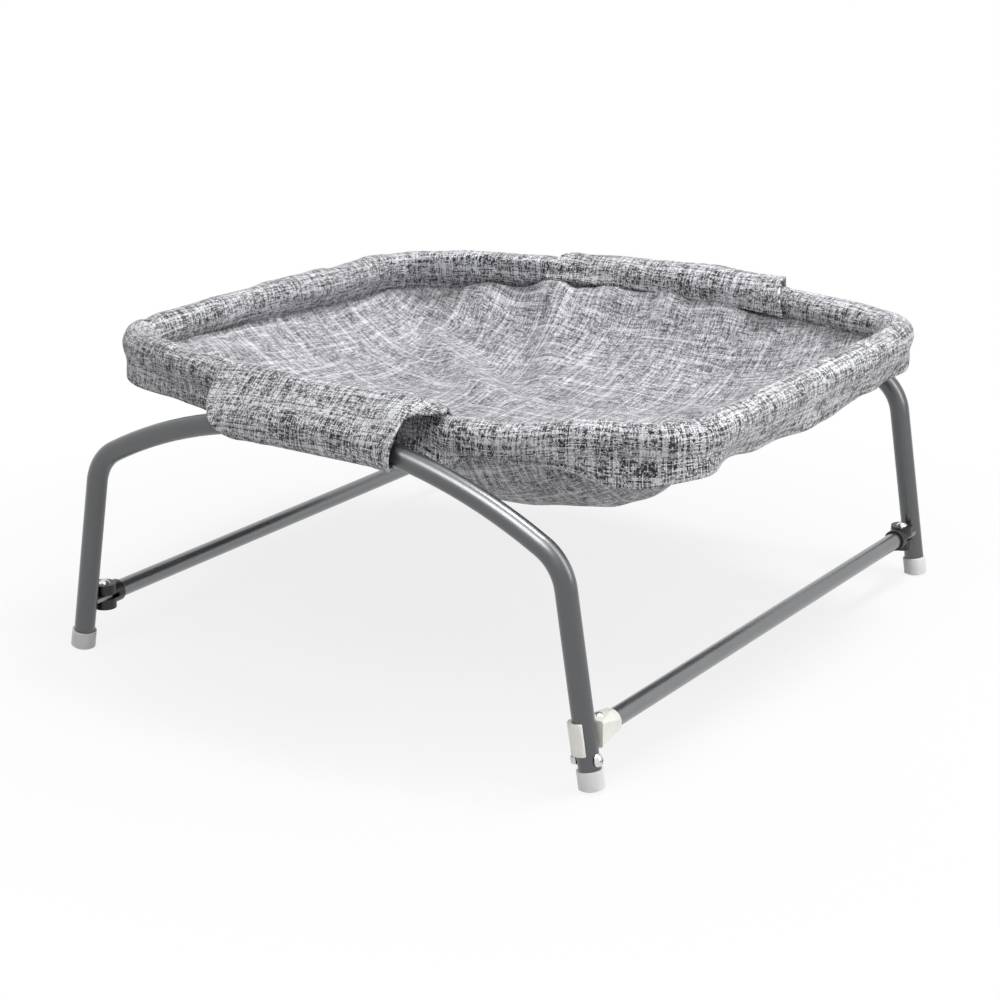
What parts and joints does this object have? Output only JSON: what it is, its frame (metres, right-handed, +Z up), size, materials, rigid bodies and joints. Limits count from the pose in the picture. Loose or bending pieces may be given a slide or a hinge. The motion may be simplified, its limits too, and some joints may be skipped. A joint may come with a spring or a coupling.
{
  "type": "raised dog cot",
  "caption": "Raised dog cot: bent-tube arches joined by folding crossbars with snap clips, carrying a woven hammock bed with a padded rim held by wrap-round flaps.",
  "frame": {"origin": "on the floor, under the middle of the cot", "axes": "+X along each arch, +Y along the crossbars from the front arch to the rear arch, +Z up"},
  "size_m": [0.5318, 0.5496, 0.2454],
  "materials": {
    "frame_paint": "satin grey metallic paint",
    "bar_paint": "satin silver-grey metallic paint",
    "ivory_plastic": "slightly translucent ivory plastic",
    "black_plastic": "semi-gloss black plastic",
    "bright_steel": "bright plated steel",
    "wire_steel": "drawn wire, hidden in the rim",
    "linen": "heathered grey slub weave",
    "foam": "soft foam, hidden in the rim",
    "tape": "hook-and-loop tape, hidden"
  },
  "bodies": {
    "frame": {"front_arch_tube": "frame_paint", "rear_arch_tube": "frame_paint", "front_left_foot_cap": "ivory_plastic", "front_right_foot_cap": "ivory_plastic", "rear_left_foot_cap": "ivory_plastic", "rear_right_foot_cap": "ivory_plastic", "left_pivot_lug": "frame_paint", "right_pivot_lug": "frame_paint", "left_hinge_pin": "bright_steel", "right_hinge_pin": "bright_steel", "left_stop_bolt": "bright_steel", "right_stop_bolt": "bright_steel", "left_stop_nut": "bright_steel", "right_stop_nut": "bright_steel", "front_rim_hoop": "wire_steel", "rear_rim_hoop": "wire_steel", "left_hoop_sleeve": "wire_steel", "right_hoop_sleeve": "wire_steel", "rim_foam": "foam", "rim_cover": "linen", "sling": "linen", "front_flap": "linen", "rear_flap": "linen", "front_loop_tape": "tape", "rear_loop_tape": "tape", "front_hook_tape": "tape", "rear_hook_tape": "tape"},
    "left_crossbar": {"left_crossbar": "bar_paint", "left_pivot_fitting": "black_plastic", "left_snap_clip": "ivory_plastic", "left_clip_rivet": "bright_steel"},
    "right_crossbar": {"right_crossbar": "bar_paint", "right_pivot_fitting": "black_plastic", "right_snap_clip": "ivory_plastic", "right_clip_rivet": "bright_steel"}
  },
  "joints": [
    {"name": "left_crossbar_fold", "type": "hinge", "parent": "frame", "child": "left_crossbar", "pos_m": [-0.22861, -0.243, 0.0382], "axis": [0, 0, -1], "range_deg": [0, 40]},
    {"name": "right_crossbar_fold", "type": "hinge", "parent": "frame", "child": "right_crossbar", "pos_m": [0.22861, 0.243, 0.0382], "axis": [0, 0, -1], "range_deg": [0, 40]}
  ]
}
